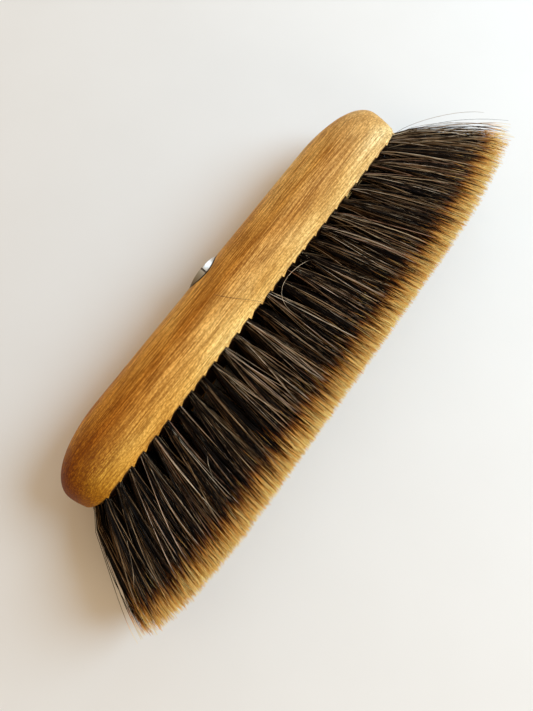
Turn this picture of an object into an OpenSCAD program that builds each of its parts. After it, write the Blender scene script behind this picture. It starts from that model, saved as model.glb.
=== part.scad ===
// Horsehair broom head: a hardwood block, drilled and tufted on its face, with a seamed
// steel sleeve in its back that takes a threaded handle.
//
// The head lies on its flank. X runs along the block, Y from the bristle tips to the back
// of the block, and Z up through the block's width. The origin is the centre of the
// footprint, on the surface that the head lies on. All sizes are in millimetres.

/* [Block] */
// Length of the wooden block
block_l = 280; // [240:5:360]
// Width of the block over its flanks
block_w = 45; // [40:1:60]
// Height of the block from its tufted face to the crown of its back
block_h = 40.5; // [38:0.5:52]
// Height of the flanks, from the face to where the domed back starts
shoulder_h = 18.5; // [17:0.5:24]
// How far the flanks draw in towards the face, on each side
face_inset = 1.5; // [0:0.5:2.5]
// Radius of the edge around the face
face_edge_r = 2; // [0.5:0.5:3]
// Length of the rounding of the back at each end
back_round_l = 47; // [30:1:70]
// Length of the rounding of each end, seen on the face
end_round_l = 22.5; // [18:0.5:35]
// Length over which the face turns up at each end
face_round_l = 18.5; // [12:0.5:24]
// How far the face turns up at each end
face_round_h = 11; // [6:0.5:15]

/* [Tufting] */
// Distance from the last full column of tufts to the end of the block
end_margin = 14; // [13:0.5:18]
// Distance from the tufts on the turned-up ends of the face to the end of the block
tip_margin = 5.5; // [5:0.25:7]
// Distance from the outer rows to the flanks
flank_margin = 6; // [6:0.5:9]
// Diameter of each drilled tuft hole
tuft_hole_d = 5; // [4:0.25:6]
// Depth of each tuft hole along its axis
tuft_hole_depth = 12; // [8:0.5:12]
// Clearance between a tuft's packed root and its hole
root_clearance = 0.1; // [0.05:0.05:0.3]
// How far a packed root stands out of the face
root_proud = 0.5; // [0.2:0.1:1.5]

/* [Anchors] */
// Height of the flat wire anchor that pins each tuft in its hole
anchor_h = 2; // [1:0.25:3]
// Thickness of the anchor wire
anchor_t = 0.5; // [0.3:0.1:0.8]
// Hair folded under the anchor, at the bottom of the hole
fold_t = 1.5; // [1:0.25:3]
// Clearance around the anchor
anchor_clearance = 0.05; // [0.02:0.01:0.1]

/* [Bristles] */
// Free length of the bristles in the middle of the face
bristle_l = 65.5; // [40:0.5:90]
// How far the last bristles reach out past their roots
flare_l = 26; // [0:1:30]
// Bend of the leaning bristles: 1 is straight, and more bends their tips upright
flare_bend = 1.35; // [1:0.05:1.6]
// How much shorter the bristles are trimmed at the ends
trim_drop = 10; // [0:0.5:12]
// How late that drop sets in from the middle to the ends
drop_power = 6; // [2:0.5:8]
// Unevenness of the trimmed tips
trim_variation = 1.5; // [0:0.25:4]
// Half thickness of a lock of hair where it leaves its root
lock_root_r = 0.75; // [0.5:0.05:0.8]
// Half thickness of a lock of hair at its fullest
lock_full_r = 1.2; // [0.8:0.05:1.4]
// Half thickness of a lock of hair at its tip
lock_tip_r = 0.35; // [0.2:0.05:0.6]

/* [Handle sleeve] */
// Outer diameter of the rolled sheet sleeve
sleeve_d = 25; // [22:0.5:27]
// Sheet thickness of the sleeve
sleeve_wall = 1; // [0.6:0.1:1.5]
// Length of the sleeve
sleeve_l = 22; // [15:0.5:23]
// How far the sleeve's rim lies below the crown of the block
sleeve_sink = 1; // [0:0.1:2]
// Width of the open butt seam along the sleeve
seam_gap = 0.9; // [0.3:0.1:2]
// Clearance between the sleeve and its socket in the wood
sleeve_clearance = 0.1; // [0.05:0.05:0.3]

/* [Hidden] */
// Counts: the inner rows have one more tuft at each end, outside the last column
columns = 27;
rows = 4;
end_column = (columns - 1) / 2;
outer_row = (rows - 1) / 2;

tuft_names = [for (i = [1:columns]) str("tufts_", i < 10 ? "0" : "", i)];

// The origin lies midway between the bristle tips and the crown of the block
face_y = (bristle_l - block_h) / 2;
crown_y = face_y + block_h;
centre_z = block_w / 2;
dome_h = block_h - shoulder_h;

pitch = (block_l - 2 * end_margin) / (columns - 1);
tip_column = (block_l / 2 - tip_margin) / pitch;
row_pitch = (block_w - 2 * flank_margin) / (rows - 1);

// A tuft has two by two locks. cell_share is their offset from the tuft's middle, as a share
// of a column or a row, and root_share is the same as a share of the packed root's radius.
cell_share = 0.25;
jitter_share = 0.08;
root_share = 0.4;
lock_corners = [[-1, -1], [1, -1], [-1, 1], [1, 1]];

// At their tips the outer locks are as far apart as the flanks, and touch the surface
tip_row_pitch = (centre_z - lock_tip_r) / (outer_row + cell_share);

root_r = tuft_hole_d / 2 - root_clearance;
root_depth = tuft_hole_depth - root_clearance;
socket_depth = sleeve_l + sleeve_sink + sleeve_clearance;
past = 1; // how far a cutter runs past the face that it cuts

wood = "#b9803a";
steel = "#b8babb";
wire = "#9a9c9e";
hair = "#3a2a1e";

// ---- Block ----

// Half the block's width at a distance x from its middle, as a share, and its direction
plan_start = block_l / 2 - end_round_l;
function plan_cos(x) = max(0, (x - plan_start) / end_round_l);
function plan_half_w(x) = block_w / 2 * sqrt(1 - pow(plan_cos(x), 2));
function plan_normal(x) =
    let (c = plan_cos(x), n = [c / end_round_l, sqrt(1 - c * c) / (block_w / 2)])
    n / norm(n);

// Height of the domed back over the shoulder, at a distance x from the middle
back_start = block_l / 2 - back_round_l;
function dome_at(x) = dome_h * sqrt(1 - pow(max(0, (x - back_start) / back_round_l), 2));

// How far the face has turned up at a distance x from the middle
turn_start = block_l / 2 - face_round_l;
function face_rise(x) =
    face_round_h * (1 - sqrt(1 - pow(max(0, (x - turn_start) / face_round_l), 2)));

// Outline of one side below the shoulder: [distance in from the flank, height]
edge_steps = 4;
flank_steps = 3;
side_profile = concat(
    [for (i = [0:edge_steps])
        let (a = 90 * i / edge_steps)
        [face_inset + face_edge_r * (1 - sin(a)), face_edge_r * (1 - cos(a))]],
    [for (i = [1:flank_steps])
        let (q = i / flank_steps)
        [face_inset * (1 - sin(90 * q)), face_edge_r + (shoulder_h - face_edge_r) * q]]);

// Cross-sections of the block, from the middle outwards: closer together where it rounds
dome_steps = 24;
station_angles = concat([for (a = [0:10:80]) a], [85, 88]);
stations = [for (a = station_angles) back_start + back_round_l * sin(a)];
all_stations = concat([for (i = [len(stations) - 1:-1:0]) -stations[i]], stations);

// One cross-section: up one side from the face, over the back, and down the other side
function side_point(x, p, side) =
    let (n = plan_normal(abs(x)), rise = face_rise(abs(x)))
    [sign(x) * (abs(x) - p[0] * n[0]),
     face_y + rise + p[1] * (1 - rise / shoulder_h),
     centre_z + side * (plan_half_w(abs(x)) - p[0] * n[1])];
function cross_section(x) = concat(
    [for (p = side_profile) side_point(x, p, 1)],
    [for (i = [1:dome_steps - 1])
        let (a = 180 * i / dome_steps)
        [x, face_y + shoulder_h + dome_at(abs(x)) * sin(a),
         centre_z + plan_half_w(abs(x)) * cos(a)]],
    [for (i = [len(side_profile) - 1:-1:0]) side_point(x, side_profile[i], -1)]);

module block_body() {
    sections = [for (x = all_stations) cross_section(x)];
    count = len(sections[0]);
    last = len(sections) - 1;
    skin = [for (i = [0:last - 1], j = [0:count - 1])
        let (k = (j + 1) % count, a = i * count, b = a + count)
        each [[a + j, b + j, b + k], [a + j, b + k, a + k]]];
    // Each end is closed by strips that run from side to side
    ends = [for (j = [0:floor(count / 2) - 1], end = [0, last])
        let (a = end * count + j, b = a + 1,
             c = end * count + count - 2 - j, d = c + 1,
             strip = b == c ? [[a, b, d]] : [[a, b, c], [a, c, d]])
        each end == 0 ? strip : [for (t = strip) [t[2], t[1], t[0]]]];
    polyhedron([for (s = sections) each s], concat(skin, ends), convexity = 4);
}

module socket_cut() {
    translate([0, crown_y - socket_depth, centre_z])
        rotate([-90, 0, 0])
            cylinder(d = sleeve_d + 2 * sleeve_clearance, h = socket_depth + past, $fn = 96);
}

module block() {
    color(wood) difference() {
        block_body();
        socket_cut();
        for (c = all_columns, r = tuft_rows(c))
            at_tuft(c, r) translate([0, 0, -tuft_hole_depth])
                cylinder(d = tuft_hole_d, h = tuft_hole_depth + 2 * past, $fn = 32);
    }
}

// ---- Tufts ----

// Columns count from the middle of the block, rows from its mid-plane
all_columns = concat([-tip_column], [for (c = [-end_column:end_column]) c], [tip_column]);
function tuft_rows(c) =
    [for (r = [-outer_row:outer_row]) if (abs(r) < outer_row || abs(c) <= end_column) r];
function reach_at(c) = flare_l * c / tip_column;
function drop_at(c) = trim_drop * pow(abs(c) / tip_column, drop_power);

// The rows draw in at the ends, so that they keep their distance from the flanks
function row_draw(c) =
    (plan_half_w(min(abs(c), end_column) * pitch) - flank_margin) / (block_w / 2 - flank_margin);
function tuft_root(c, r) =
    [c * pitch, face_y + face_rise(abs(c) * pitch), centre_z + r * row_pitch * row_draw(c)];

// Where a tuft would end if it kept the direction that it has at its root
function tuft_aim(c, r) = [
    c * pitch + flare_bend * reach_at(c),
    face_y + drop_at(c) - bristle_l,
    centre_z + r * tip_row_pitch];

// Puts its children at a tuft's root, with Z along the tuft
module at_tuft(c, r) {
    d = tuft_aim(c, r) - tuft_root(c, r);
    translate(tuft_root(c, r))
        rotate([0, acos(d[2] / norm(d)), atan2(d[1], d[0])])
            children();
}

// Middle of a lock at a share s of its length. corner is its place in the tuft, and nudge
// moves its tip a little. Locks keep their order at every s, so none of them cross.
function lock_point(c, r, corner, nudge, length, s) =
    let (u = c + corner[0] * cell_share + nudge[0],
         dw = corner[1] * (cell_share - abs(nudge[1])),
         fan = 1 - pow(1 - s, 2),
         bend = 1 - pow(1 - s, flare_bend),
         root = corner * root_share * root_r * (1 - fan))
    [pitch * (c + (u - c) * fan) + root[0] + reach_at(u) * bend,
     tuft_root(c, r)[1] * (1 - s) + (face_y + drop_at(u) - length) * s,
     tuft_root(c, r)[2] * (1 - s) + (centre_z + r * tip_row_pitch) * s
         + dw * tip_row_pitch * fan + root[1]];

// Rings of a lock: [share of its length, half thickness]; the first is inside the root
lock_embed = 2;
lock_rings = [[-lock_embed / bristle_l, lock_root_r], [0.35, lock_full_r],
              [0.75, 0.9 * lock_full_r], [1, lock_tip_r]];

module lock(c, r, corner, nudge, length) {
    up = r > 0 ? 90 : -90;
    points = [for (ring = lock_rings, j = [0:2])
        let (a = up + 120 * j)
        lock_point(c, r, corner, nudge, length, ring[0])
            + ring[1] * [cos(a), 0, sin(a)]];
    last = 3 * (len(lock_rings) - 1);
    polyhedron(points, concat([[0, 1, 2], [last + 2, last + 1, last]],
        [for (i = [0:3:last - 3], j = [0:2])
            let (k = (j + 1) % 3)
            each [[i + j, i + j + 3, i + k + 3], [i + j, i + k + 3, i + k]]]));
}

// Window in a packed root that the anchor passes through
module anchor_shape(clearance) {
    translate([0, 0, fold_t + anchor_h / 2 - tuft_hole_depth])
        rotate([0, 0, 90])
            cube([2 * sqrt(pow(root_r, 2) - pow(anchor_t / 2, 2)) + 2 * clearance,
                  anchor_t + 2 * clearance, anchor_h + 2 * clearance], center = true);
}

module tuft(c, r) {
    at_tuft(c, r) difference() {
        translate([0, 0, -root_depth]) cylinder(r = root_r, h = root_depth + root_proud, $fn = 32);
        anchor_shape(anchor_clearance);
    }
    for (i = [0:3]) {
        random = rands(-1, 1, 3, 1000 * abs(c) + 10 * (r + rows) + i);
        nudge = [random[0] * jitter_share, abs(r) == outer_row ? 0 : random[1] * jitter_share];
        length = bristle_l - trim_variation * abs(random[2]) * (c == 0 ? 0 : 1);
        lock(c, r, lock_corners[i], nudge, length);
    }
}

// The columns left of the middle mirror those right of it, and the last one on each side
// holds the tufts on the turned-up end of the face too
module tuft_column(c) {
    color(hair)
        mirror([c < 0 ? 1 : 0, 0, 0]) {
            for (r = tuft_rows(c)) tuft(abs(c), r);
            if (abs(c) == end_column)
                for (r = tuft_rows(tip_column)) tuft(tip_column, r);
        }
}

// ---- Metal parts ----

module handle_sleeve() {
    color(steel)
        translate([0, crown_y - sleeve_sink, centre_z])
            rotate([90, 0, 0])
                difference() {
                    cylinder(d = sleeve_d, h = sleeve_l, $fn = 96);
                    translate([0, 0, -past])
                        cylinder(d = sleeve_d - 2 * sleeve_wall, h = sleeve_l + 2 * past, $fn = 96);
                    translate([-seam_gap / 2, 0, -past])
                        cube([seam_gap, sleeve_d, sleeve_l + 2 * past]);
                }
}

module anchors() {
    color(wire)
        for (c = all_columns, r = tuft_rows(c))
            at_tuft(c, r) anchor_shape(0);
}

block();
handle_sleeve();
anchors();
for (i = [0:columns - 1])
    tuft_column(i - end_column);
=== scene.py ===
"""Looks of a horsehair broom head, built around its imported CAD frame.

Lengths are in metres. X runs along the block, Y from the bristle tips to the back of the
block, and Z up through the block's width. The head lies on its flank, on the floor at Z = 0.
"""

import math

import bmesh
import bpy
import numpy as np
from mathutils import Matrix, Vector


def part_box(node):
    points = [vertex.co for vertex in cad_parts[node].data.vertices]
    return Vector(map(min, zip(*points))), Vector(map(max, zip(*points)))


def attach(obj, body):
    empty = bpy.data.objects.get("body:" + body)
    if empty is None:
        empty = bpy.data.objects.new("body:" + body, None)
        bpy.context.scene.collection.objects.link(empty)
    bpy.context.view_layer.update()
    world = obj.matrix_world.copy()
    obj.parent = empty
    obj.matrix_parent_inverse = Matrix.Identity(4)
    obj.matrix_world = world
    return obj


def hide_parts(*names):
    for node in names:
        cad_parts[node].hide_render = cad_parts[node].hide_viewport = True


MM = 0.001

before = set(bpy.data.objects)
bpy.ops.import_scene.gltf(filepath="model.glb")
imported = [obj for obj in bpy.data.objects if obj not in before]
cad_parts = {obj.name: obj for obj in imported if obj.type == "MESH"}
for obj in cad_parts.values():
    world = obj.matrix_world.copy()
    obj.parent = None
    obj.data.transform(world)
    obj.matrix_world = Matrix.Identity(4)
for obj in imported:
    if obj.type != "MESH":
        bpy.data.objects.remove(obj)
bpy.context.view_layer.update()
rng = np.random.default_rng(11)

# ---- Sizes, from the frame or as in the part's source ----

block_low, block_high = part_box("block")
sleeve_low, sleeve_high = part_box("handle_sleeve")
FACE_Y, CROWN_Y = block_low.y, block_high.y
BLOCK_W = block_high.z - block_low.z
BLOCK_H = CROWN_Y - FACE_Y
MID_Z = (block_low.z + block_high.z) / 2
BLOCK_L = 280 * MM
SHOULDER_H = 18.5 * MM
FACE_INSET = 1.5 * MM
FACE_EDGE_R = 2 * MM
BACK_ROUND_L = 47 * MM
END_ROUND_L = 22.5 * MM
FACE_ROUND_L, FACE_ROUND_H = 18.5 * MM, 11 * MM

COLUMNS, ROWS = 27, 4
END_COLUMN, OUTER_ROW = (COLUMNS - 1) / 2, (ROWS - 1) / 2
END_MARGIN, TIP_MARGIN, FLANK_MARGIN = 14 * MM, 5.5 * MM, 6 * MM
PITCH = (BLOCK_L - 2 * END_MARGIN) / (COLUMNS - 1)
TIP_COLUMN = (BLOCK_L / 2 - TIP_MARGIN) / PITCH
ROW_PITCH = (BLOCK_W - 2 * FLANK_MARGIN) / (ROWS - 1)
TIP_ROW_PITCH = (BLOCK_W / 2 - 0.35 * MM) / (OUTER_ROW + 0.25)
HOLE_R, HOLE_DEPTH = 2.5 * MM, 12 * MM
BRISTLE_L = FACE_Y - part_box("tufts_14")[0].y
FLARE_L, FLARE_BEND = 26 * MM, 1.35
TRIM_DROP, DROP_POWER = 10 * MM, 6

SLEEVE_R = (sleeve_high.x - sleeve_low.x) / 2
# The sleeve's details from here on are this script's own
SLEEVE_SHEET, RIM_LIFT = 0.8 * MM, 0.2 * MM
SLEEVE_TOP, SLEEVE_BOTTOM = sleeve_high.y + RIM_LIFT, sleeve_low.y
# The mouth is flared over its first few millimetres, and its socket is a little wider
MOUTH_R, MOUTH_H, SOCKET_GAP = SLEEVE_R + 0.9 * MM, 6 * MM, 0.3 * MM
THREAD_PITCH, THREAD_DEPTH, THREAD_START = 5 * MM, 0.9 * MM, 2 * MM
# The seam is nearly closed, and a strip along it is painted dark as painted shade
SEAM_GAP, SEAM_SHADE = 0.2 * MM, 0.55 * MM


# ---- Camera ----


def camera_axes(azimuth, elevation, roll):
    """Right, up and back vectors of a camera that looks at the object from that direction."""
    a, e, r = (math.radians(v) for v in (azimuth, elevation, roll))
    back = Vector((math.sin(a) * math.cos(e), -math.cos(a) * math.cos(e), math.sin(e)))
    right = Vector((0, 0, 1)).cross(back).normalized()
    up = back.cross(right)
    return (
        right * math.cos(r) + up * math.sin(r),
        up * math.cos(r) - right * math.sin(r),
        back,
    )


CAMERA_AZIMUTH, CAMERA_ELEVATION, CAMERA_ROLL = -54.1, 80.1, 1.5
CAMERA_TARGET = Vector((-14.7 * MM, FACE_Y - 17.2 * MM, 20 * MM))
CAMERA_DISTANCE = 303 * MM
CAMERA_LENS, CAMERA_SENSOR = 27.04, 36
VIEW_RIGHT, VIEW_UP, VIEW_BACK = camera_axes(
    CAMERA_AZIMUTH, CAMERA_ELEVATION, CAMERA_ROLL
)


def make_camera():
    data = bpy.data.cameras.new("camera")
    data.lens = CAMERA_LENS
    data.sensor_width = CAMERA_SENSOR
    data.clip_start = 10 * MM
    camera = bpy.data.objects.new("camera", data)
    bpy.context.scene.collection.objects.link(camera)
    matrix = camera.matrix_world.to_3x3()
    for i, axis in enumerate((VIEW_RIGHT, VIEW_UP, VIEW_BACK)):
        matrix.col[i] = axis
    camera.matrix_world = matrix.to_4x4()
    camera.location = CAMERA_TARGET + VIEW_BACK * CAMERA_DISTANCE
    bpy.context.scene.camera = camera


# ---- Node helpers ----


class Tree:
    """A material's node tree, written as nested calls."""

    def __init__(self, name):
        self.material = bpy.data.materials.new(name)
        self.material.use_nodes = True
        self.nodes = self.material.node_tree.nodes
        self.links = self.material.node_tree.links
        self.nodes.clear()

    def add(self, kind, inputs=(), **settings):
        made = self.nodes.new("ShaderNode" + kind)
        for key, value in settings.items():
            setattr(made, key, value)
        for key, value in dict(inputs).items():
            if isinstance(value, bpy.types.NodeSocket):
                self.links.new(value, made.inputs[key])
            else:
                made.inputs[key].default_value = value
        return made

    def math(self, operation, *values, clamp=False):
        inputs = dict(enumerate(values))
        return self.add("Math", inputs, operation=operation, use_clamp=clamp).outputs[0]

    def scaled(self, vector, scale):
        inputs = {0: vector, 1: scale}
        return self.add("VectorMath", inputs, operation="MULTIPLY").outputs[0]

    def remap(self, value, low, high, to_low=0.0, to_high=1.0):
        inputs = {"Value": value, 1: low, 2: high, 3: to_low, 4: to_high}
        return self.add("MapRange", inputs).outputs[0]

    def from_axis(self, split):
        """Distance from the sleeve's axis, from the separated object coordinates."""
        from_z = self.math("SUBTRACT", split.outputs[2], MID_Z)
        flat = self.add("CombineXYZ", {"X": split.outputs[0], "Y": 0.0, "Z": from_z})
        return self.add("VectorMath", {0: flat.outputs[0]}, operation="LENGTH").outputs["Value"]

    def noise(self, vector, per_metre, detail=2.0, roughness=0.5):
        """Noise with that many cells in a metre, one number or one for each axis."""
        if isinstance(per_metre, tuple):
            vector, per_metre = self.scaled(vector, per_metre), 1.0
        inputs = {
            "Vector": vector,
            "Scale": per_metre,
            "Detail": detail,
            "Roughness": roughness,
        }
        return self.add("TexNoise", inputs).outputs["Fac"]

    def ramp(self, factor, stops):
        made = self.add("ValToRGB", {"Fac": factor})
        elements = made.color_ramp.elements
        while len(elements) < len(stops):
            elements.new(0.5)
        for element, (position, colour) in zip(elements, stops):
            element.position = position
            element.color = (*colour, 1)
        return made.outputs["Color"]

    def grey_ramp(self, factor, stops):
        return self.ramp(factor, [(p, (v, v, v)) for p, v in stops])

    def mix(self, factor, a, b, blend="MIX"):
        made = self.add("Mix", data_type="RGBA", blend_type=blend)
        for socket, value in ((0, factor), (6, a), (7, b)):
            if isinstance(value, bpy.types.NodeSocket):
                self.links.new(value, made.inputs[socket])
            elif socket:
                made.inputs[socket].default_value = (*value, 1)
            else:
                made.inputs[socket].default_value = value
        return made.outputs[2]

    def finish(self, inputs, height=None, bump=0.0, distance=0.0):
        if height is not None:
            bumped = {"Strength": bump, "Distance": distance, "Height": height}
            inputs["Normal"] = self.add("Bump", bumped).outputs[0]
        shader = self.add("BsdfPrincipled", inputs)
        self.add("OutputMaterial", {"Surface": shader.outputs[0]})
        return self.material


# ---- Materials ----


RING_SHADOW = (0.009, 0.005, 0.002)
FACE_SHADE = (0.030, 0.013, 0.006)
WOOD_PORE = (0.22, 0.080, 0.012)
WOOD_SPECK = (0.17, 0.045, 0.006)
WOOD_VEIN = (0.20, 0.080, 0.012)


def grain_colour(t, place, along, lines, depth, sheen_end):
    """Oiled wood as its grain colours it: patches, bands, fine lines, flecks and veins."""
    patches = t.noise(place, (18, 60, 60))
    colour = t.ramp(
        patches,
        [
            (0.34, (0.48, 0.205, 0.034)),
            (0.50, (0.58, 0.280, 0.060)),
            (0.66, (0.66, 0.360, 0.095)),
        ],
    )
    bands = t.noise(along, (10, 400, 400))
    band = t.ramp(bands, [(0.35, (0.95, 0.93, 0.89)), (0.65, (1.04, 1.05, 1.07))])
    colour = t.mix(1.0, colour, band, "MULTIPLY")
    # The lines are fainter near the face, and at the end painted with a sheen
    line = t.ramp(lines, [(0.38, (0.56, 0.47, 0.35)), (0.58, (1.14, 1.20, 1.29))])
    near_face = t.grey_ramp(depth, [(0.12, 0.5), (0.50, 0.0)])
    line = t.mix(t.math("MAXIMUM", sheen_end, near_face), line, (0.98, 0.97, 0.96))
    colour = t.mix(1.0, colour, line, "MULTIPLY")
    flecks = t.noise(place, (700, 1300, 1300), 1.0)
    fleck = t.ramp(flecks, [(0.35, (0.76, 0.70, 0.60)), (0.65, (1.15, 1.19, 1.27))])
    colour = t.mix(1.0, colour, fleck, "MULTIPLY")
    veins = t.noise(along, (16, 650, 650), 1.0)
    vein = t.math("ABSOLUTE", t.math("SUBTRACT", veins, 0.5))
    vein = t.grey_ramp(vein, [(0.0, 0.52), (0.05, 0.0)])
    return t.mix(vein, colour, WOOD_VEIN)


def shading_and_patina(t, colour, place, length, depth, sheen_end):
    """Painted light and shade, partly patina: pale bristle edge and crown, dark back, sheen at
    +X, dark -X end.
    """
    # Painted light and shade across the block, partly patina: lighter at the bristle edge and
    # crown, darker on the back
    across_shade_and_patina = t.ramp(
        depth,
        [
            (0.10, (1.55, 2.05, 3.10)),
            (0.38, (1.11, 1.12, 1.18)),
            (0.60, (0.88, 0.70, 0.41)),
            (0.85, (1.30, 1.45, 1.42)),
        ],
    )
    # The +X end is painted paler and bluer, as a painted sheen
    across_shade_and_patina = t.mix(sheen_end, across_shade_and_patina, (1.20, 1.40, 1.75))
    colour = t.mix(1.0, colour, across_shade_and_patina, "MULTIPLY")
    # Painted falloff of the light along the block: darker and redder towards -X, paler and bluer
    # towards +X
    along_falloff_shade = t.ramp(
        length,
        [
            (0.03, (0.56, 0.39, 0.030)),
            (0.14, (0.86, 0.70, 0.36)),
            (0.40, (1.04, 1.03, 0.95)),
            (0.93, (1.06, 1.17, 1.50)),
        ],
    )
    colour = t.mix(1.0, colour, along_falloff_shade, "MULTIPLY")
    # The end at -X is painted darker, as painted shade, mostly midway across; end-grain specks
    # lie in the same place
    dark_end = t.grey_ramp(length, [(0.0, 0.9), (0.10, 0.8), (0.22, 0.0)])
    midway = t.grey_ramp(depth, [(0.10, 0.2), (0.35, 1.0), (0.70, 1.0), (0.92, 0.2)])
    dark_end = t.math("MULTIPLY", dark_end, midway)
    shade = t.math("MULTIPLY", dark_end, 0.6)
    colour = t.mix(shade, colour, (0.66, 0.56, 0.50), "MULTIPLY")
    specks = t.noise(place, (700, 1500, 1500), 2.0, 0.6)
    speck = t.grey_ramp(specks, [(0.46, 0.0), (0.62, 1.0)])
    return t.mix(t.math("MULTIPLY", speck, dark_end), colour, WOOD_SPECK)


def painted_shade(t, colour, split):
    """The tufted face is painted dark as painted shade, and a ring round the sleeve as painted
    shadow.
    """
    # The face, which turns towards -Y, is painted dark as painted shade between the tufts
    normal = t.add("NewGeometry").outputs["Normal"]
    facing = t.add("SeparateXYZ", {0: normal}).outputs[1]
    face = t.grey_ramp(t.math("MULTIPLY", facing, -1.0), [(0.72, 0.0), (0.95, 1.0)])
    colour = t.mix(face, colour, FACE_SHADE)
    # A narrow ring on the wood round the sleeve's mouth is painted dark, as painted shadow in the
    # gap
    ring = t.remap(t.from_axis(split), MOUTH_R + 1.4 * MM, MOUTH_R + 1.9 * MM, 1.0, 0.0)
    return t.mix(ring, colour, RING_SHADOW)


def wood_material():
    """Oiled hardwood with a fine, straight grain along X."""
    t = Tree("oiled_wood")
    place = t.add("TexCoord").outputs["Object"]
    split = t.add("SeparateXYZ", {0: place})
    length = t.remap(split.outputs[0], -BLOCK_L / 2, BLOCK_L / 2)
    depth = t.remap(split.outputs[1], FACE_Y, CROWN_Y)
    # The end at +X is painted with a pale sheen, as a painted highlight
    sheen_end = t.grey_ramp(length, [(0.84, 0.0), (0.98, 0.8)])

    # The grain wanders a little from its straight course
    drift = t.noise(place, (12, 60, 60))
    drift = t.math("MULTIPLY", t.math("SUBTRACT", drift, 0.5), 2.5 * MM)
    wander = t.add("CombineXYZ", {"X": 0.0, "Y": drift, "Z": drift}).outputs[0]
    along = t.add("VectorMath", {0: place, 1: wander}, operation="ADD").outputs[0]
    lines = t.noise(along, (50, 1450, 1450), 1.0)
    pores = t.noise(along, (110, 1500, 1500), 1.0, 0.4)
    open_pore = t.grey_ramp(pores, [(0.62, 0.0), (0.72, 1.0)])

    colour = grain_colour(t, place, along, lines, depth, sheen_end)
    colour = shading_and_patina(t, colour, place, length, depth, sheen_end)
    colour = t.mix(t.math("MULTIPLY", open_pore, 0.5), colour, WOOD_PORE)
    colour = painted_shade(t, colour, split)
    return t.finish(
        {
            "Base Color": colour,
            "Roughness": t.grey_ramp(lines, [(0.2, 0.50), (0.8, 0.60)]),
            "Specular IOR Level": 0.12,
        },
        height=t.math("SUBTRACT", t.math("MULTIPLY", lines, 0.6), open_pore),
        bump=0.4,
        distance=0.12 * MM,
    )


# A hair's kind, from 0 to 1, gives its colour below the tip: near-black, brown, pale, reddish
HAIR_KINDS = 64
HAIR_COLOURS = [
    (0.0, (0.002, 0.0014, 0.001)),
    (0.50, (0.008, 0.004, 0.0025)),
    (0.70, (0.048, 0.025, 0.012)),
    (0.80, (0.26, 0.155, 0.075)),
    (0.88, (0.54, 0.38, 0.215)),
    (0.95, (0.84, 0.70, 0.53)),
    (1.0, (0.34, 0.10, 0.028)),
]
# Towards the tip a hair turns reddish, then golden, then straw-coloured or rusty
REDDISH, GOLDEN = (0.38, 0.12, 0.028), (1.0, 0.50, 0.10)
STRAW, RUSTY = (1.0, 0.82, 0.32), (0.72, 0.36, 0.075)
FIRST_TURN, LAST_TURN = 0.78, 0.96


def horsehair_material():
    """Hair whose colour depends on its kind (U) and on the place along it (V)."""
    t = Tree("horsehair")
    uv = t.add("UVMap", uv_map="OFBake").outputs[0]
    split = t.add("SeparateXYZ", {0: uv})
    kind = t.math("FLOOR", t.math("MULTIPLY", split.outputs[0], HAIR_KINDS))
    along = split.outputs[1]
    dark = t.ramp(t.math("DIVIDE", kind, HAIR_KINDS), HAIR_COLOURS)
    chance = t.add("TexWhiteNoise", {"W": kind}, noise_dimensions="1D").outputs[0]
    other = t.add("TexWhiteNoise", {"W": t.math("ADD", kind, 0.5)}, noise_dimensions="1D")
    late = t.math("POWER", other.outputs[0], 1.6)
    past = t.math("SUBTRACT", along, t.remap(late, 0.0, 1.0, FIRST_TURN, LAST_TURN))
    to_red = t.math("MULTIPLY_ADD", past, 16.0, 0.9, clamp=True)
    to_gold = t.math("MULTIPLY_ADD", past, 16.0, 0.1, clamp=True)
    to_straw = t.math("MULTIPLY_ADD", past, 9.0, -0.25, clamp=True)
    colour = t.mix(to_red, dark, REDDISH)
    colour = t.mix(to_gold, colour, GOLDEN)
    colour = t.mix(to_straw, colour, t.mix(late, STRAW, RUSTY))
    vary = t.grey_ramp(chance, [(0.0, 0.74), (0.3, 0.98), (1.0, 1.0)])
    colour = t.mix(1.0, colour, vary, "MULTIPLY")
    # A hair is painted darker and lighter by turns along its length, as painted shade where it
    # would pass under its neighbours
    place = t.add("CombineXYZ", {"X": t.math("MULTIPLY", kind, 7.3), "Y": along}).outputs[0]
    under_shade = t.noise(place, (1, 5, 1), 1.0)
    depth = t.grey_ramp(under_shade, [(0.36, 0.35), (0.50, 1.0)])
    depth = t.mix(to_gold, depth, (1.0, 1.0, 1.0))
    colour = t.mix(1.0, colour, depth, "MULTIPLY")
    return t.finish(
        {"Base Color": colour, "Roughness": 0.45, "Specular IOR Level": 0.10}
    )


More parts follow.
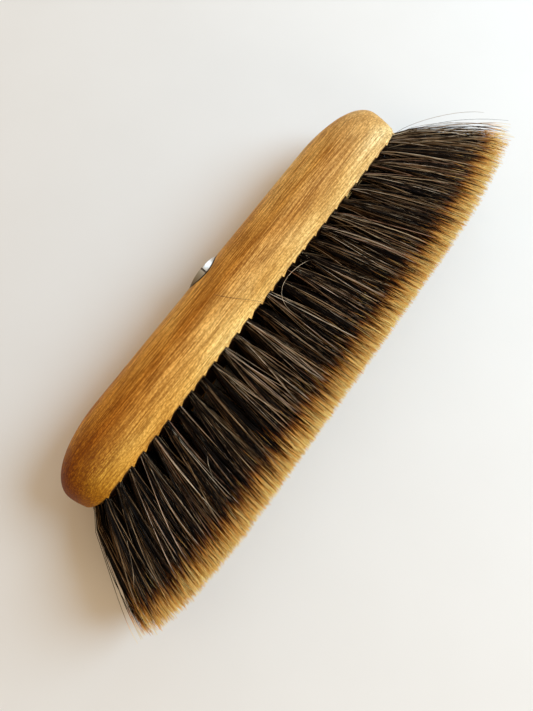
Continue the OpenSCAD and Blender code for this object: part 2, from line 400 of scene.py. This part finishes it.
def steel_material():
    """Bright zinc-plated sheet, painted darker as painted shade on the -X side, inside, and in
    the seam.
    """
    t = Tree("sleeve_steel")
    place = t.add("TexCoord").outputs["Object"]
    split = t.add("SeparateXYZ", {0: place})
    from_x = split.outputs[0]
    clouds = t.noise(place, 260.0, 3.0, 0.6)
    colour = t.mix(clouds, (0.78, 0.80, 0.82), (0.92, 0.93, 0.93))
    # The side towards -X is painted darker, as painted shade
    side_shade = t.ramp(
        t.remap(from_x, -9 * MM, 3 * MM),
        [(0.0, (0.30, 0.28, 0.25)), (0.5, (0.48, 0.48, 0.45)), (1.0, (0.9, 0.9, 0.89))],
    )
    colour = t.mix(1.0, colour, side_shade, "MULTIPLY")
    # The inside of the tube is painted dark, as painted shade
    inner = SLEEVE_R - SLEEVE_SHEET / 2
    inside = t.remap(t.from_axis(split), inner - 0.2 * MM, inner, 1.0, 0.0)
    colour = t.mix(inside, colour, (0.10, 0.10, 0.095))
    # The seam, which faces up, is painted dark as painted shade
    below = t.math("LESS_THAN", split.outputs[2], MID_Z)
    beside = t.math("ADD", t.math("ABSOLUTE", from_x), below)
    seam = t.remap(beside, 0.8 * SEAM_SHADE, SEAM_SHADE, 1.0, 0.0)
    colour = t.mix(seam, colour, (0.012, 0.011, 0.010))
    return t.finish(
        {
            "Base Color": colour,
            "Metallic": 1.0,
            "Roughness": t.grey_ramp(clouds, [(0.3, 0.28), (0.7, 0.38)]),
        },
        height=t.noise(place, (300, 4000, 300), 3.0, 0.6),
        bump=0.1,
        distance=0.05 * MM,
    )


def wire_material():
    """Flat drawn wire."""
    t = Tree("anchor_wire")
    place = t.add("TexCoord").outputs["Object"]
    drawn = t.noise(place, (900, 900, 200))
    colour = t.mix(drawn, (0.30, 0.30, 0.31), (0.46, 0.46, 0.47))
    return t.finish({"Base Color": colour, "Metallic": 1.0, "Roughness": 0.35})


def floor_material():
    """Matt white board."""
    t = Tree("floor_white")
    place = t.add("TexCoord").outputs["Object"]
    paper = t.noise(place, 18.0, 3.0)
    colour = t.mix(paper, (0.795, 0.792, 0.783), (0.828, 0.828, 0.824))
    return t.finish({"Base Color": colour, "Roughness": 0.9, "Specular IOR Level": 0.1})


# ---- Mesh helpers ----


def add_mesh(name, vertices, faces, material, uvs=None):
    """A new smooth mesh object from arrays of vertices and of equal-sized faces."""
    vertices, faces = np.asarray(vertices, float), np.asarray(faces, int)
    mesh = bpy.data.meshes.new(name)
    sides = faces.shape[1]
    mesh.vertices.add(len(vertices))
    mesh.vertices.foreach_set("co", vertices.ravel().astype(np.float32))
    mesh.loops.add(faces.size)
    mesh.loops.foreach_set("vertex_index", faces.ravel().astype(np.int32))
    mesh.polygons.add(len(faces))
    mesh.polygons.foreach_set(
        "loop_start", np.arange(0, faces.size, sides, dtype=np.int32)
    )
    mesh.update(calc_edges=True)
    if uvs is not None:
        layer = mesh.uv_layers.new(name="OFBake")
        layer.data.foreach_set("uv", np.asarray(uvs, np.float32).ravel())
    mesh.shade_smooth()
    mesh.materials.append(material)
    made = bpy.data.objects.new(name, mesh)
    bpy.context.scene.collection.objects.link(made)
    return made


def grid_faces(rings, points, closed=True):
    """Quads that join rings of points, each ring closed or open."""
    i = np.arange(rings - 1)[:, None]
    j = np.arange(points if closed else points - 1)[None, :]
    k = (j + 1) % points
    a, b = i * points, (i + 1) * points
    return np.stack([a + j, b + j, b + k, a + k], -1).reshape(-1, 4)


def baked_mesh(made):
    """The object's mesh with its modifiers applied."""
    graph = bpy.context.evaluated_depsgraph_get()
    made.data = bpy.data.meshes.new_from_object(made.evaluated_get(graph))
    made.modifiers.clear()


def stand_in(piece, node):
    """The piece stands for that CAD node, which is hidden, and rides on the root body."""
    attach(piece, "root")
    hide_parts(node)
    return piece


# ---- Block ----


def rounding(x, length):
    """How far x is into the rounding of an end, and the quarter arc's height there: 0 to 1."""
    c = np.clip((np.abs(x) - (BLOCK_L / 2 - length)) / length, 0, 1)
    return c, np.sqrt(1 - c * c)


def face_rise(x):
    """How far the face has turned up at x."""
    return FACE_ROUND_H * (1 - rounding(x, FACE_ROUND_L)[1])


def flank_points(side, x):
    """Points up one flank of the block, from the edge of the face to the shoulder."""
    c, arc = rounding(x, END_ROUND_L)
    half_w = BLOCK_W / 2 * arc
    normal = np.array([c / END_ROUND_L, arc / (BLOCK_W / 2)])
    normal /= np.linalg.norm(normal)
    rise = face_rise(x)
    turn = np.radians(np.linspace(0, 90, 7))
    inset = list(FACE_INSET + FACE_EDGE_R * (1 - np.sin(turn)))
    height = list(FACE_EDGE_R * (1 - np.cos(turn)))
    up = np.linspace(0, 1, 7)[1:]
    inset += list(FACE_INSET * (1 - np.sin(np.pi / 2 * up)))
    height += list(FACE_EDGE_R + (SHOULDER_H - FACE_EDGE_R) * up)
    inset, height = np.array(inset), np.array(height)
    height = rise + height * (1 - rise / SHOULDER_H)
    return np.stack(
        [side * (x - inset * normal[0]), FACE_Y + height, half_w - inset * normal[1]],
        1,
    )


def block_section(x):
    """Points around the block's section at x, from one edge of the face to the other."""
    side, x = np.sign(x), abs(x)
    half_w = BLOCK_W / 2 * rounding(x, END_ROUND_L)[1]
    dome_h = (BLOCK_H - SHOULDER_H) * rounding(x, BACK_ROUND_L)[1]
    flank = flank_points(side, x)
    over = np.radians(np.linspace(0, 180, 61))[1:-1]
    dome = np.stack(
        [
            np.full(len(over), side * x),
            FACE_Y + SHOULDER_H + dome_h * np.sin(over),
            half_w * np.cos(over),
        ],
        1,
    )
    section = np.concatenate([flank, dome, flank[::-1] * (1, 1, -1)])
    return section + (0, 0, MID_Z)


def tuft_rows(column):
    """All rows, or only the inner ones on the turned-up ends of the face."""
    rows = np.arange(ROWS) - OUTER_ROW
    return [r for r in rows if abs(r) < OUTER_ROW or abs(column) <= END_COLUMN]


def node_tufts(index):
    """The tufts (column, row) of one node: the last ones hold the turned-up end's too."""
    column = index - END_COLUMN
    columns = [column]
    if abs(column) == END_COLUMN:
        columns.append(math.copysign(TIP_COLUMN, column))
    return [(c, r) for c in columns for r in tuft_rows(c)]


def reach_at(column):
    """How far the tips of the hairs of a column reach out past their roots."""
    return FLARE_L * column / TIP_COLUMN


def drop_at(column):
    """How much shorter the hairs of a column are trimmed."""
    return TRIM_DROP * (np.abs(column) / TIP_COLUMN) ** DROP_POWER


def row_draw(column):
    """The rows draw in at the ends, so that they keep their distance from the flanks."""
    half_w = BLOCK_W / 2 * rounding(min(abs(column), END_COLUMN) * PITCH, END_ROUND_L)[1]
    return (half_w - FLANK_MARGIN) / (BLOCK_W / 2 - FLANK_MARGIN)


def tuft_root(column, row):
    x = column * PITCH
    z = MID_Z + row * ROW_PITCH * row_draw(column)
    return np.array([x, FACE_Y + face_rise(x), z])


def tuft_axis(column, row):
    """Where a tuft leaves the face, and its direction there."""
    root = tuft_root(column, row)
    aim = np.array(
        [
            root[0] + FLARE_BEND * reach_at(column),
            FACE_Y + drop_at(column) - BRISTLE_L,
            MID_Z + row * TIP_ROW_PITCH,
        ]
    )
    return root, (aim - root) / np.linalg.norm(aim - root)


def cylinder_points(start, end, radius, sides):
    axis = (end - start) / np.linalg.norm(end - start)
    u = np.cross(axis, (1.0, 0.0, 0.0))
    u /= np.linalg.norm(u)
    v = np.cross(axis, u)
    turn = np.linspace(0, 2 * np.pi, sides, endpoint=False)[:, None]
    ring = radius * (np.cos(turn) * u + np.sin(turn) * v)
    return np.concatenate([start + ring, end + ring])


def cutter(cylinders, sides):
    """One object of separate closed cylinders: (start, end, radius) each."""
    vertices, faces = [], []
    for start, end, radius in cylinders:
        first = len(vertices)
        vertices += list(cylinder_points(np.array(start), np.array(end), radius, sides))
        ring = list(range(sides))
        for j in ring:
            k = (j + 1) % sides
            faces.append([first + j, first + k, first + sides + k, first + sides + j])
        faces.append([first + j for j in reversed(ring)])
        faces.append([first + sides + j for j in ring])
    mesh = bpy.data.meshes.new("cutter")
    mesh.from_pydata([tuple(v) for v in vertices], [], faces)
    made = bpy.data.objects.new("cutter", mesh)
    bpy.context.scene.collection.objects.link(made)
    return made


def edge_chips():
    """Slivers of wood left at the face's edge, from each hole of an outer row to the next."""
    vertices, faces = [], []
    for column in np.arange(COLUMNS) - END_COLUMN:
        for side in (-1, 1):
            x = column * PITCH + HOLE_R * rng.uniform(0.70, 0.95)
            width, hang = rng.uniform(4.5, 7.0) * MM, rng.uniform(0.9, 1.5) * MM
            # They hang less towards the right end, and at the left one
            hang *= 1 - 0.5 * np.clip(x / (60 * MM), 0, 1) - 0.5 * (x < -110 * MM)
            # Corners: along the edge, up from the face, and in from the flank (in mm)
            shape = ((0, 0.9, 1.9), (width, 0.6, 1.9), (0.4 * MM, -hang / MM, 2.1))
            corners = []
            for right, up, inset in (*shape, (0.3 * width, 0.5, 3.4)):
                cx = np.clip(x + right, 3 * MM - BLOCK_L / 2, BLOCK_L / 2 - 10 * MM)
                out = BLOCK_W / 2 * rounding(cx, END_ROUND_L)[1] - inset * MM
                corners.append((cx, FACE_Y + face_rise(cx) + up * MM, out))
            first = len(vertices)
            vertices += [(cx, cy, MID_Z + side * cz) for cx, cy, cz in corners]
            for face in ((0, 2, 1), (0, 1, 3), (0, 3, 2), (1, 2, 3)):
                faces.append([first + j for j in face[::side]])
    return vertices, faces


def add_chips(made):
    whole = bmesh.new()
    whole.from_mesh(made.data)
    chips, chip_faces = edge_chips()
    corners = [whole.verts.new(v) for v in chips]
    for face in chip_faces:
        whole.faces.new([corners[j] for j in face])
    whole.to_mesh(made.data)
    whole.free()


def plain_block():
    """The block before it is drilled: sections joined in a loft, closest at the round ends."""
    turns = np.radians(list(np.arange(0, 88, 3)) + [88, 89, 89.6])
    stations = BLOCK_L / 2 - BACK_ROUND_L + BACK_ROUND_L * np.sin(turns)
    flat = stations[0]
    middle = np.linspace(-flat, flat, 25)[1:-1]
    xs = np.concatenate([-stations[::-1], middle, stations])
    rings = np.array([block_section(x if x else 1e-9) for x in xs])
    count = rings.shape[1]
    faces = grid_faces(len(xs), count)
    ends = []
    for first, order in ((0, 1), ((len(xs) - 1) * count, -1)):
        for j in range(count // 2):
            quad = [first + j, first + j + 1, first + count - 2 - j, first + count - 1 - j]
            ends.append(quad[::order])
    mesh = bpy.data.meshes.new("block_wood")
    points = [tuple(p) for p in rings.reshape(-1, 3)]
    mesh.from_pydata(points, [], [list(f) for f in faces] + ends)
    mesh.validate()
    made = bpy.data.objects.new("block_wood", mesh)
    bpy.context.scene.collection.objects.link(made)
    return made


def cut(made, cylinders, sides):
    tool = cutter(cylinders, sides)
    modifier = made.modifiers.new("cut", "BOOLEAN")
    modifier.operation, modifier.solver, modifier.object = "DIFFERENCE", "EXACT", tool
    baked_mesh(made)
    bpy.data.objects.remove(tool)


def make_block(material):
    made = plain_block()
    holes = []
    for column, row in (tuft for i in range(COLUMNS) for tuft in node_tufts(i)):
        root, axis = tuft_axis(column, row)
        holes.append((root - axis * HOLE_DEPTH, root + axis * 2 * MM, HOLE_R))
    cut(made, holes, 20)
    socket_floor, above = SLEEVE_BOTTOM - 0.1 * MM, CROWN_Y + 2 * MM
    socket = [((0, socket_floor, MID_Z), (0, above, MID_Z), MOUTH_R + SOCKET_GAP)]
    cut(made, socket, 96)
    add_chips(made)
    made.data.shade_smooth()
    made.data.set_sharp_from_angle(angle=math.radians(38))
    made.data.materials.clear()
    made.data.materials.append(material)
    return stand_in(made, "block")


# ---- Handle sleeve ----


def sleeve_rings(turns):
    """(radius, y) of each ring of the tube's sheet: up the outside, then down the inside."""
    outside, inside = [], []
    for y in np.linspace(SLEEVE_BOTTOM, SLEEVE_TOP, 75):
        down = SLEEVE_TOP - y
        reach = min(1, max(0, (down - MOUTH_H) / THREAD_START))
        wave = 0.5 + 0.5 * np.cos(2 * np.pi * down / THREAD_PITCH - turns)
        edge = 0.15 * MM * (max(0, 1 - min(down, y - SLEEVE_BOTTOM) / (0.25 * MM)) ** 2)
        flare = (MOUTH_R - SLEEVE_R) * max(0, 1 - down / MOUTH_H) ** 1.5
        outer = SLEEVE_R + flare - THREAD_DEPTH * reach * wave**1.5
        outside.append((outer - edge, y))
        inside.append((outer - SLEEVE_SHEET + edge, y))
    return outside + inside[::-1]


def make_sleeve(material):
    """A rolled sheet tube, open along its seam, with the thread pressed into the sheet."""
    seam = SEAM_GAP / 2 / SLEEVE_R
    turns = np.linspace(seam, 2 * np.pi - seam, 181)
    rings = sleeve_rings(turns)
    vertices = []
    for radius, y in rings:
        # The seam faces up, and the turns run round the Y axis from there
        x, z = radius * np.sin(turns), radius * np.cos(turns)
        vertices.append(np.stack([x, np.full(len(turns), y), MID_Z + z], 1))
    count, last = len(turns), len(rings) - 1
    faces = list(grid_faces(len(rings), count, closed=False))
    for j in range(count - 1):
        faces.append([last * count + j, j, j + 1, last * count + j + 1])
    for j, order in ((0, 1), (count - 1, -1)):
        for i in range(len(rings) // 2 - 1):
            quad = [ring * count + j for ring in (i, i + 1, last - i - 1, last - i)]
            faces.append(quad[::order])
    points = np.concatenate(vertices)
    made = add_mesh("sleeve_rolled", points, faces, material)
    made.data.set_sharp_from_angle(angle=math.radians(40))
    return stand_in(made, "handle_sleeve")


# ---- Hair ----

HAIR_STEPS = 12
HAIR_SIDES = 3
HAIR_D = 0.2 * MM
# A tuft is a square of locks, a lock a square of clumps, and a clump a few hairs that cling
LOCK_GRID = 3
CLUMPS_PER_LOCK_SIDE = 4
HAIRS_PER_CLUMP = 2
LOOSE_PER_TUFT = 12
# The trimmed line slopes a little, and the last hairs at one end reach further out
TRIM_SLOPE = 3.1 * MM
END_REACH = 6 * MM
# The outer tufts bulge towards the flanks where they leave their holes
ROOT_BULGE = 1.3 * MM
# Hairs that wander up past the block are held back, so that none stands far out of the head
HAIR_HIGH, HAIR_OVER = BLOCK_W + 5 * MM, 5 * MM
# How soon hairs open out from their root, as a power: soonest in the inner rows, evenly at the
# ends
OPEN_OUTER, OPEN_INNER, OPEN_END = (1.15, 1.9), (2.0, 3.2), (1.0, 1.25)
# Columns between which the hairs turn paler, and those between which they do so once more
TAN_FROM, TAN_TO = 6, 10
TANNER_FROM, TANNER_TO = 11, 13


def hair_tubes(paths, radii, kinds, ends):
    """Vertices, quads and UVs of thin tubes: paths are (hairs, steps, 3), ends their last V."""
    hairs, steps, _ = paths.shape
    ahead = np.gradient(paths, axis=1)
    ahead /= np.linalg.norm(ahead, axis=2, keepdims=True)
    side = np.cross(ahead, (0.31, 0.17, 0.94))
    side /= np.linalg.norm(side, axis=2, keepdims=True)
    other = np.cross(ahead, side)
    turn = 2 * np.pi * np.arange(HAIR_SIDES)[:, None] / HAIR_SIDES
    ring = side[:, :, None] * np.cos(turn) + other[:, :, None] * np.sin(turn)
    vertices = paths[:, :, None] + ring * radii[:, :, None, None]
    quads = grid_faces(steps, HAIR_SIDES)
    faces = quads[None] + (np.arange(hairs) * steps * HAIR_SIDES)[:, None, None]
    # A hair's sides share one narrow strip of the UV square, picked by its kind
    left, right = (kinds + 0.25) / HAIR_KINDS, (kinds + 0.75) / HAIR_KINDS
    at = ends[:, None] * np.linspace(0.004, 0.996, steps)
    low = np.repeat(np.arange(steps - 1), HAIR_SIDES)
    uv = np.empty((hairs, len(low), 4, 2))
    uv[..., 1] = np.stack([at[:, low], at[:, low + 1], at[:, low + 1], at[:, low]], -1)
    uv[..., 0] = np.stack([left, left, right, right], -1)[:, None]
    return vertices.reshape(-1, 3), faces.reshape(-1, 4), uv.reshape(-1, 2)


def hair_radii(thick, steps, diameter):
    taper = np.interp(np.linspace(0, 1, steps), [0, 0.8, 1], [1, 0.95, 0.55])
    return diameter / 2 * thick[:, None] * taper


def hair_kinds(count, inner, tan):
    """Mostly near-black, some brown, a few pale and a few reddish; the inner rows are darker, as
    painted shade between the tufts.
    """
    shares = np.array([0.86, 0.11, 0.02, 0.01] if inner else [0.67, 0.15, 0.13, 0.05])
    shares += tan * np.array([-0.14, 0.08, 0.06, 0.0])
    ranges = np.array([(0.0, 0.55), (0.55, 0.8), (0.8, 0.95), (0.97, 0.999)])
    group = rng.choice(len(ranges), count, p=shares)
    low, high = ranges[group].T
    return low + (high - low) * rng.random(count)


def clump_layout(inner, tan):
    """Tip places (in shares of a tuft's cell), bends and kinds of one tuft's clumps."""
    side = LOCK_GRID * CLUMPS_PER_LOCK_SIDE
    grid = (np.arange(side) + 0.5) / side - 0.5
    i, j = (m.ravel() for m in np.meshgrid(np.arange(side), np.arange(side)))
    lock = i // CLUMPS_PER_LOCK_SIDE * LOCK_GRID + j // CLUMPS_PER_LOCK_SIDE
    locks, clumps = LOCK_GRID**2, len(lock)
    centre = (np.floor(np.arange(locks) / LOCK_GRID) + 0.5) / LOCK_GRID - 0.5
    centre = np.stack([centre, (np.arange(locks) % LOCK_GRID + 0.5) / LOCK_GRID - 0.5], 1)
    tight = rng.uniform(0.7, 1.15, locks)[lock][:, None]
    tip = centre[lock] + (np.stack([grid[i], grid[j]], 1) - centre[lock]) * tight
    tip += rng.uniform(-0.1, 0.1, (locks, 2))[lock] + rng.normal(0, 0.15, (clumps, 2))
    bend = rng.normal(0, 0.9 * MM, (locks, 2))[lock] + rng.normal(0, 1.2 * MM, (clumps, 2))
    return tip, bend, hair_kinds(clumps, inner, tan)


def tuft_layout(inner, tan):
    """Tip places, bends, kinds, clumps and looseness of one tuft's hairs."""
    tip, bend, kind = clump_layout(inner, tan)
    clump = np.repeat(np.arange(len(tip)), HAIRS_PER_CLUMP)
    n = len(clump)
    hair_tip = tip[clump] + rng.normal(0, 0.010, (n, 2))
    hair_bend = bend[clump] + rng.normal(0, 0.08 * MM, (n, 2))
    hair_kind = kind[clump]

    loose = rng.integers(0, len(tip), LOOSE_PER_TUFT)
    hair_tip = np.concatenate([hair_tip, tip[loose] + rng.normal(0, 0.25, (len(loose), 2))])
    hair_bend = np.concatenate([hair_bend, rng.normal(0, 2.4 * MM, (len(loose), 2))])
    hair_kind = np.concatenate([hair_kind, rng.uniform(0.62, 0.95, len(loose))])
    clump = np.concatenate([clump, loose])
    return hair_tip, hair_bend, hair_kind, clump, np.arange(len(clump)) >= n


def hair_roots(tip, clump):
    """Where each hair of a tuft stands in its hole, from the hole's axis."""
    clumps = clump.max() + 1
    around, out = rng.uniform(0, 2 * np.pi, clumps), np.sqrt(rng.random(clumps))
    root = 0.9 * tip + 0.55 * np.stack([out * np.cos(around), out * np.sin(around)], 1)[clump]
    root /= np.maximum(1, np.linalg.norm(root, axis=1, keepdims=True))
    return root * (HOLE_R - 0.3 * MM) + rng.normal(0, 0.08 * MM, (len(tip), 2))


def hair_lengths(clump):
    """Lengths of a tuft's hairs, as shares of the whole: one in ten is clearly shorter."""
    n, clumps = len(clump), clump.max() + 1
    length = 1 - 0.08 * rng.random(clumps)[clump] ** 2 - 0.02 * rng.random(n) ** 2
    short = rng.random(n) < 0.10
    length[short] *= rng.uniform(0.70, 0.97, short.sum())
    return length


def tuft_hairs(column, row):
    """Centre lines, kinds and thickness of one tuft's hairs, which leave its hole and fan out."""
    outer = abs(row) == OUTER_ROW
    tan = np.clip((column - TAN_FROM) / (TAN_TO - TAN_FROM), 0, 1)
    tan += np.clip((column - TANNER_FROM) / (TANNER_TO - TANNER_FROM), 0, 1)
    tip, bend, kind, clump, loose = tuft_layout(not outer, tan)
    n, clumps = len(tip), clump.max() + 1
    root = hair_roots(tip, clump)
    length = hair_lengths(clump)

    # A hair's points, as shares of the way to the tip line: the first lies in the hole
    s = np.concatenate([[-0.07], np.linspace(0, 1, HAIR_STEPS - 1) ** 0.9])
    share = s * length[:, None]
    inside = np.clip(share, 0, 1)
    opening = OPEN_OUTER if outer else OPEN_INNER
    if abs(column) >= END_COLUMN:
        opening = OPEN_END
    fan = 1 - (1 - inside) ** rng.uniform(*opening, clumps)[clump][:, None]

    u, w = column + tip[:, 0:1], tip[:, 1:2]
    limit = TIP_COLUMN + 0.4
    fan_u = np.clip(u, -limit, limit)
    end_share = fan_u / TIP_COLUMN
    reach = reach_at(fan_u) + END_REACH * np.maximum(end_share, 0) ** 5
    phase = rng.uniform(0, 2 * np.pi, clumps)[clump][:, None]
    wave = np.sin(np.pi * inside * 1.2 + phase) - np.sin(phase)
    wave = np.where(loose[:, None], np.sin(np.pi * inside), wave * inside**0.5)
    _, root_y, root_z = tuft_root(column, row)
    x = (
        PITCH * (column + (u - column) * fan)
        + root[:, 0:1] * (1 - fan)
        + reach * (1 - (1 - share) ** FLARE_BEND)
        + bend[:, 0:1] * wave
    )
    tip_y = FACE_Y + drop_at(fan_u) + TRIM_SLOPE * end_share - BRISTLE_L
    y = root_y * (1 - share) + tip_y * share
    z = (
        (root_z - MID_Z) * (1 - share)
        + row * TIP_ROW_PITCH * share
        + w * TIP_ROW_PITCH * fan
        + root[:, 1:2] * (1 - fan)
        + bend[:, 1:2] * wave
    )
    bulge = ROOT_BULGE * np.clip(share / 0.04, 0, 1) * (1 - inside) ** 2
    x += 2.5 * bulge * np.sign(column) * (abs(column) > END_COLUMN)
    z += bulge * (row / OUTER_ROW) * outer
    z = np.maximum(MID_Z + z, HAIR_D * 0.7)
    over = np.maximum(z - HAIR_HIGH, 0)
    z -= over - HAIR_OVER * np.tanh(over / HAIR_OVER)
    thick = rng.uniform(0.8, 1.25, n) * np.where(kind > 0.8, 1.15, 1.0)
    return np.stack([x, y, z], -1), (kind * HAIR_KINDS).astype(int), thick, np.ones(n)


# Single hairs out of place: number of the node, kind, and the points they pass, in mm
STRAYS = [
    (14, 0.76, [(5, 6, 43.5), (3.4, 12.5, 44.4), (-1, 19, 45.1), (-5.5, 28, 45.2),
                (-9, 35, 44.8)]),
    (15, 0.93, [(9, -3, 43), (12, 6.5, 45.5), (21.3, 9, 46.6), (29, 8.8, 46.4), (37, 6, 45)]),
    (1, 0.92, [(-133, -9, 45), (-137, -15, 46.5), (-142, -21, 46.8), (-148, -26, 46)]),
    (6, 0.92, [(-84, -24, 46), (-82, -21, 46.4), (-80, -18, 46.6), (-77, -15, 46.2)]),
    (27, 0.82, [(133, 14, 34), (143, 8, 38), (157, -5, 42), (169, -20, 43)]),
    (27, 0.55, [(136, 12, 30), (150, 0, 36), (163, -16, 40), (175, -34, 41)]),
    (27, 0.75, [(135, 10, 36), (147, -2, 41), (160, -19, 43), (168, -38, 43)]),
]
# They stop short of the colours of the tip, and are a little thicker than most
STRAY_END, STRAY_THICK = np.array([0.7]), np.array([1.1])


def stray_hairs(number):
    """Centre line, kind, thickness and end of each single hair of one node."""
    steps = np.linspace(0, 1, HAIR_STEPS)
    for node, kind, points in STRAYS:
        if node != number:
            continue
        at = np.linspace(0, 1, len(points))
        smooth = np.array([np.polyfit(at, axis, 3) for axis in np.array(points, float).T])
        path = np.stack([np.polyval(axis, steps) for axis in smooth], -1) * MM
        yield path[None], np.array([int(kind * HAIR_KINDS)]), STRAY_THICK, STRAY_END


def make_hair(material):
    for index in range(COLUMNS):
        tufts = [tuft_hairs(column, row) for column, row in node_tufts(index)]
        tufts += stray_hairs(index + 1)
        paths = np.concatenate([t[0] for t in tufts])
        kinds = np.concatenate([t[1] for t in tufts])
        radii = hair_radii(np.concatenate([t[2] for t in tufts]), HAIR_STEPS, HAIR_D)
        ends = np.concatenate([t[3] for t in tufts])
        vertices, faces, uvs = hair_tubes(paths, radii, kinds, ends)
        number = f"{index + 1:02d}"
        piece = add_mesh(f"hair_{number}", vertices, faces, material, uvs)
        stand_in(piece, f"tufts_{number}")


# ---- Stage ----


FLOOR_HALF = 3.0


def make_stage():
    far = FLOOR_HALF
    corners = [(-far, -far, 0), (far, -far, 0), (far, far, 0), (-far, far, 0)]
    floor = add_mesh("floor", corners, [[0, 1, 2, 3]], floor_material())


def add_light(name, direction, distance, size, power, colour):
    data = bpy.data.lights.new(name, "AREA")
    data.shape, data.size = "DISK", size
    data.energy, data.color = power, colour
    lamp = bpy.data.objects.new(name, data)
    bpy.context.scene.collection.objects.link(lamp)
    back = direction.normalized()
    lamp.location = back * distance
    lamp.rotation_euler = back.to_track_quat("Z", "Y").to_euler()


# Directions in the picture: along the block to its right end, and across to the bristles
ALONG = VIEW_RIGHT * 0.65 + VIEW_UP * 0.76
ACROSS = VIEW_RIGHT * 0.76 - VIEW_UP * 0.65


def make_lights():
    """Soft windows beyond the right end of the head, and a warmer lamp beyond the bristles."""
    key = ALONG * 1.0 + ACROSS * 0.5 + VIEW_BACK * 0.75
    add_light("key_window", key, 1.5, size=1.0, power=25, colour=(0.59, 0.81, 1.0))
    side = ALONG * 1.0 - ACROSS * 0.38 + VIEW_BACK * 0.40
    add_light("side_window", side, 1.3, size=0.9, power=2.6, colour=(0.66, 0.85, 1.0))
    fill = ACROSS * 1.0 + ALONG * 0.1 + VIEW_BACK * 0.25
    add_light("fill", fill, 1.3, size=0.7, power=7.5, colour=(1.0, 0.84, 0.62))


def make_world():
    """A warm room that is dimmer on the left."""
    world = bpy.data.worlds.new("world")
    bpy.context.scene.world = world
    world.use_nodes = True
    nodes, links = world.node_tree.nodes, world.node_tree.links
    direction = nodes.new("ShaderNodeTexCoord").outputs["Generated"]
    towards = nodes.new("ShaderNodeVectorMath")
    towards.operation = "DOT_PRODUCT"
    towards.inputs[1].default_value = (ALONG * 0.8 + ACROSS * 0.6) / 2
    links.new(direction, towards.inputs[0])
    ramp = nodes.new("ShaderNodeMapRange")
    ramp.inputs[1].default_value, ramp.inputs[2].default_value = -0.5, 0.5
    links.new(towards.outputs["Value"], ramp.inputs[0])
    sky = nodes.new("ShaderNodeMix")
    sky.data_type = "RGBA"
    sky.inputs[6].default_value = (0.75, 0.48, 0.25, 1)
    sky.inputs[7].default_value = (1.0, 0.80, 0.56, 1)
    links.new(ramp.outputs[0], sky.inputs[0])
    links.new(sky.outputs[2], nodes["Background"].inputs["Color"])
    nodes["Background"].inputs["Strength"].default_value = 0.68


# ---- Scene ----

make_camera()
make_stage()
make_lights()
make_world()
make_block(wood_material())
make_sleeve(steel_material())
make_hair(horsehair_material())
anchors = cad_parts["anchors"]
anchors.data.materials.clear()
anchors.data.materials.append(wire_material())

bpy.context.scene.view_settings.view_transform = "Standard"
